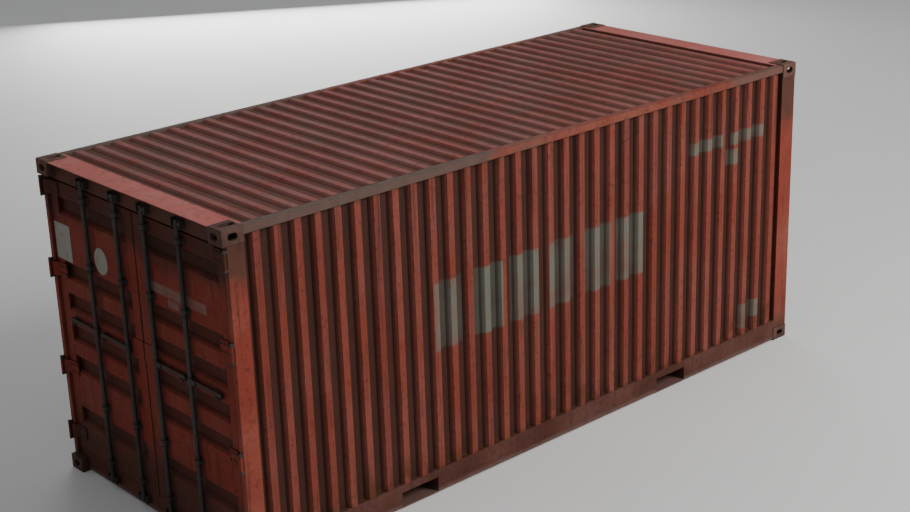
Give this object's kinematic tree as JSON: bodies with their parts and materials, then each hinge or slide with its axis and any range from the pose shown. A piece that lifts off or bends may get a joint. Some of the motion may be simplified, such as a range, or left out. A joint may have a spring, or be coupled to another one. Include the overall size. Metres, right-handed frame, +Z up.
{
  "type": "shipping container",
  "caption": "Corrugated steel freight box with corner castings, fork pockets, plywood floor and hinged end doors held by turning lock bars.",
  "frame": {"origin": "centre of the footprint, on the plane of the bottom castings' undersides", "axes": "+Z up, X along the length with the doors at -X, +Y to the left seen from the doors"},
  "size_m": [6.058, 2.438, 2.591],
  "materials": {
    "wall_paint": "matt, chalked and rust-streaked",
    "frame_paint": "matt, chipped to rust",
    "rail_paint": "worn to grey-brown primer",
    "roof_paint": "faded and dusty",
    "door_paint": "matt, dirty",
    "underframe_paint": "matt, rusty",
    "casting_steel": "rough, rusty",
    "gear_steel": "galvanised, dulled",
    "gasket_rubber": "matt",
    "floor_wood": "scuffed plywood"
  },
  "bodies": {
    "container": {"corner_castings_bottom": "casting_steel", "corner_castings_top": "casting_steel", "rear_corner_posts": "frame_paint", "front_corner_posts": "frame_paint", "rear_sill": "underframe_paint", "front_sill": "underframe_paint", "rear_header": "frame_paint", "front_header": "frame_paint", "top_side_rails": "rail_paint", "bottom_side_rail_left": "underframe_paint", "bottom_side_rail_right": "underframe_paint", "crossmembers": "underframe_paint", "fork_pocket_rear": "underframe_paint", "fork_pocket_front": "underframe_paint", "floor": "floor_wood", "side_wall_left": "wall_paint", "side_wall_right": "wall_paint", "front_wall": "wall_paint", "roof": "roof_paint", "roof_end_plates": "roof_paint", "hinge_lugs": "gear_steel", "hinge_pins": "gear_steel", "cam_keepers": "gear_steel"},
    "door_left": {"door_left_frame": "door_paint", "door_left_panel": "door_paint", "door_left_gasket": "gasket_rubber", "door_left_hinge_blades": "door_paint", "door_left_bar_guides": "gear_steel", "door_left_handle_catches": "gear_steel", "door_left_centre_plate": "door_paint"},
    "lock_bar_left_inner": {"lock_bar_left_inner": "gear_steel"},
    "handle_left_inner": {"handle_left_inner": "gear_steel"},
    "lock_bar_left_outer": {"lock_bar_left_outer": "gear_steel"},
    "handle_left_outer": {"handle_left_outer": "gear_steel"},
    "door_right": {"door_right_frame": "door_paint", "door_right_panel": "door_paint", "door_right_gasket": "gasket_rubber", "door_right_hinge_blades": "door_paint", "door_right_bar_guides": "gear_steel", "door_right_handle_catches": "gear_steel", "door_right_centre_plate": "door_paint"},
    "lock_bar_right_inner": {"lock_bar_right_inner": "gear_steel"},
    "handle_right_inner": {"handle_right_inner": "gear_steel"},
    "lock_bar_right_outer": {"lock_bar_right_outer": "gear_steel"},
    "handle_right_outer": {"handle_right_outer": "gear_steel"}
  },
  "joints": [
    {"name": "door_left_hinge", "type": "hinge", "parent": "container", "child": "door_left", "pos_m": [-3.016, 1.208, 0], "axis": [0, 0, -1], "range_deg": [0, 267]},
    {"name": "lock_bar_left_inner_turn", "type": "hinge", "parent": "door_left", "child": "lock_bar_left_inner", "pos_m": [-2.997, 0.19, 0], "axis": [0, 0, -1], "range_deg": [-100, 0]},
    {"name": "handle_left_inner_lift", "type": "hinge", "parent": "lock_bar_left_inner", "child": "handle_left_inner", "pos_m": [-2.997, 0.236, 1.332], "axis": [1, 0, 0], "range_deg": [0, 15]},
    {"name": "lock_bar_left_outer_turn", "type": "hinge", "parent": "door_left", "child": "lock_bar_left_outer", "pos_m": [-2.997, 0.632, 0], "axis": [0, 0, -1], "range_deg": [-100, 0]},
    {"name": "handle_left_outer_lift", "type": "hinge", "parent": "lock_bar_left_outer", "child": "handle_left_outer", "pos_m": [-2.997, 0.678, 1.332], "axis": [1, 0, 0], "range_deg": [0, 15]},
    {"name": "door_right_hinge", "type": "hinge", "parent": "container", "child": "door_right", "pos_m": [-3.016, -1.208, 0], "axis": [0, 0, 1], "range_deg": [0, 267]},
    {"name": "lock_bar_right_inner_turn", "type": "hinge", "parent": "door_right", "child": "lock_bar_right_inner", "pos_m": [-2.997, -0.19, 0], "axis": [0, 0, 1], "range_deg": [-100, 0]},
    {"name": "handle_right_inner_lift", "type": "hinge", "parent": "lock_bar_right_inner", "child": "handle_right_inner", "pos_m": [-2.997, -0.236, 1.332], "axis": [-1, 0, 0], "range_deg": [0, 15]},
    {"name": "lock_bar_right_outer_turn", "type": "hinge", "parent": "door_right", "child": "lock_bar_right_outer", "pos_m": [-2.997, -0.632, 0], "axis": [0, 0, 1], "range_deg": [-100, 0]},
    {"name": "handle_right_outer_lift", "type": "hinge", "parent": "lock_bar_right_outer", "child": "handle_right_outer", "pos_m": [-2.997, -0.678, 1.332], "axis": [-1, 0, 0], "range_deg": [0, 15]}
  ]
}
